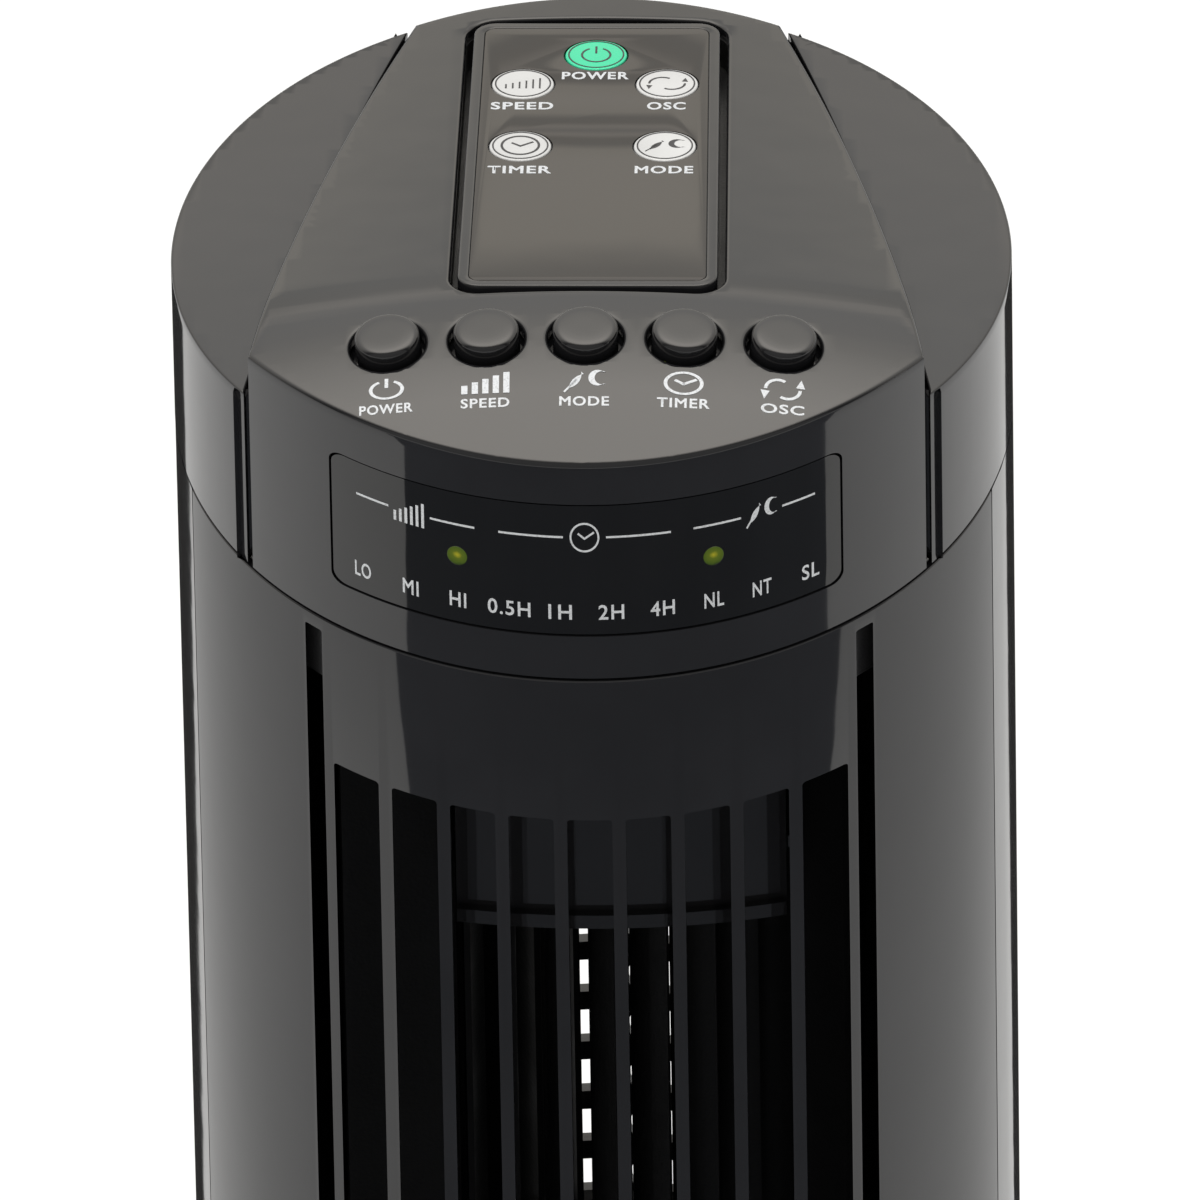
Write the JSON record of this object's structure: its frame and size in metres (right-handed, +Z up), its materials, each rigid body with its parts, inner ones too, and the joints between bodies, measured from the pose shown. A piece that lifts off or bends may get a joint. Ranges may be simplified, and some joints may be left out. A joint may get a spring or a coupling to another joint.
{
  "type": "tower fan",
  "caption": "Black oscillating tower fan with a round base, barred front outlet, slotted rear intake, push buttons, display window and a remote control docked in its crowned top.",
  "frame": {"origin": "middle of the underside of the base, on the surface that the fan stands on", "axes": "+Z up along the tower; the outlet grille faces -Y; +X is on the right when the outlet is seen from the front"},
  "size_m": [0.25, 0.25, 0.7397],
  "materials": {
    "black_gloss": "high gloss moulded black",
    "black_matt": "fine spark-eroded matt black",
    "rubber": "matt",
    "zinc_steel": "zinc plated",
    "bright_steel": "ground",
    "cast_iron": "as cast",
    "laminated_steel": "stacked laminations",
    "sintered_brass": "sintered",
    "white_acetal": "natural acetal",
    "smoked_lens": "smoked glossy window",
    "overlay_film": "printed glossy film",
    "green_led": "diffused green lens",
    "circuit_board": "solder mask",
    "key_white": "satin white",
    "key_green": "satin green"
  },
  "bodies": {
    "base": {"base_shell": "black_gloss", "base_plate": "black_matt", "rubber_feet": "rubber", "base_weight": "cast_iron", "base_screws": "zinc_steel", "cord_gland": "black_matt", "pivot_post": "white_acetal", "post_clip": "zinc_steel", "bearing_ring": "white_acetal", "swing_motor": "zinc_steel"},
    "tower": {"bottom_housing": "black_gloss", "button_switches": "circuit_board", "capacitor": "black_matt", "control_board": "circuit_board", "display_frame": "black_matt", "display_lens": "smoked_lens", "duct_bottom": "black_matt", "duct_left": "black_matt", "duct_right": "black_matt", "duct_top": "black_matt", "front_shell": "black_gloss", "led_array": "green_led", "motor_bell_lower": "zinc_steel", "motor_bell_upper": "zinc_steel", "motor_bushes": "sintered_brass", "motor_stator": "laminated_steel", "rear_grille": "black_matt", "rear_shell": "black_gloss", "remote_dock": "black_matt", "top_bearing": "rubber", "top_chassis": "black_matt", "top_panel_center": "black_gloss", "top_wing_left": "black_gloss", "top_wing_right": "black_gloss", "tower_screws": "zinc_steel", "turntable": "black_matt"},
    "crank": {"swing_crank": "white_acetal"},
    "impeller": {"impeller_blades": "black_matt", "impeller_discs": "black_matt", "impeller_hub": "rubber", "impeller_top_pin": "bright_steel", "motor_shaft": "bright_steel", "motor_rotor": "laminated_steel"},
    "remote": {"remote_case_top": "black_gloss", "remote_case_bottom": "black_gloss", "remote_overlay": "overlay_film", "remote_board": "circuit_board", "remote_battery": "bright_steel", "remote_battery_tray": "black_matt"},
    "button_power": {"button_power": "black_gloss"},
    "button_speed": {"button_speed": "black_gloss"},
    "button_mode": {"button_mode": "black_gloss"},
    "button_timer": {"button_timer": "black_gloss"},
    "button_osc": {"button_osc": "black_gloss"},
    "key_power": {"key_power": "key_green"},
    "key_speed": {"key_speed": "key_white"},
    "key_osc": {"key_osc": "key_white"},
    "key_timer": {"key_timer": "key_white"},
    "key_mode": {"key_mode": "key_white"}
  },
  "joints": [
    {"name": "tower_swing", "type": "hinge", "parent": "base", "child": "tower", "pos_m": [0, 0, 0.05], "axis": [0, 0, 1], "range_deg": [-35, 35]},
    {"name": "crank_turn", "type": "hinge", "parent": "base", "child": "crank", "pos_m": [0, -0.04, 0.033], "axis": [0, 0, 1], "range_deg": [-87.5, 87.5]},
    {"name": "impeller_spin", "type": "hinge", "parent": "tower", "child": "impeller", "pos_m": [0, 0.006, 0.35], "axis": [0, 0, 1], "continuous": true},
    {"name": "button_power_press", "type": "slide", "parent": "tower", "child": "button_power", "axis": [0.1097, 0, -0.994], "range_m": [0, 0.0015], "stiffness_N_per_m": 300},
    {"name": "button_speed_press", "type": "slide", "parent": "tower", "child": "button_speed", "axis": [0.0548, 0, -0.9985], "range_m": [0, 0.0015], "stiffness_N_per_m": 300},
    {"name": "button_mode_press", "type": "slide", "parent": "tower", "child": "button_mode", "axis": [0, 0, -1], "range_m": [0, 0.0015], "stiffness_N_per_m": 300},
    {"name": "button_timer_press", "type": "slide", "parent": "tower", "child": "button_timer", "axis": [-0.0548, 0, -0.9985], "range_m": [0, 0.0015], "stiffness_N_per_m": 300},
    {"name": "button_osc_press", "type": "slide", "parent": "tower", "child": "button_osc", "axis": [-0.1097, 0, -0.994], "range_m": [0, 0.0015], "stiffness_N_per_m": 300},
    {"name": "remote_lift", "type": "slide", "parent": "tower", "child": "remote", "axis": [0, 0.213, 0.977], "range_m": [0, 0.05]},
    {"name": "key_power_press", "type": "slide", "parent": "remote", "child": "key_power", "axis": [0, -0.213, -0.977], "range_m": [0, 0.0003], "stiffness_N_per_m": 400},
    {"name": "key_speed_press", "type": "slide", "parent": "remote", "child": "key_speed", "axis": [0, -0.213, -0.977], "range_m": [0, 0.0003], "stiffness_N_per_m": 400},
    {"name": "key_osc_press", "type": "slide", "parent": "remote", "child": "key_osc", "axis": [0, -0.213, -0.977], "range_m": [0, 0.0003], "stiffness_N_per_m": 400},
    {"name": "key_timer_press", "type": "slide", "parent": "remote", "child": "key_timer", "axis": [0, -0.213, -0.977], "range_m": [0, 0.0003], "stiffness_N_per_m": 400},
    {"name": "key_mode_press", "type": "slide", "parent": "remote", "child": "key_mode", "axis": [0, -0.213, -0.977], "range_m": [0, 0.0003], "stiffness_N_per_m": 400}
  ],
  "couplings": [
    {"joint": "crank_turn", "follows": "tower_swing", "ratio": 2.5}
  ]
}
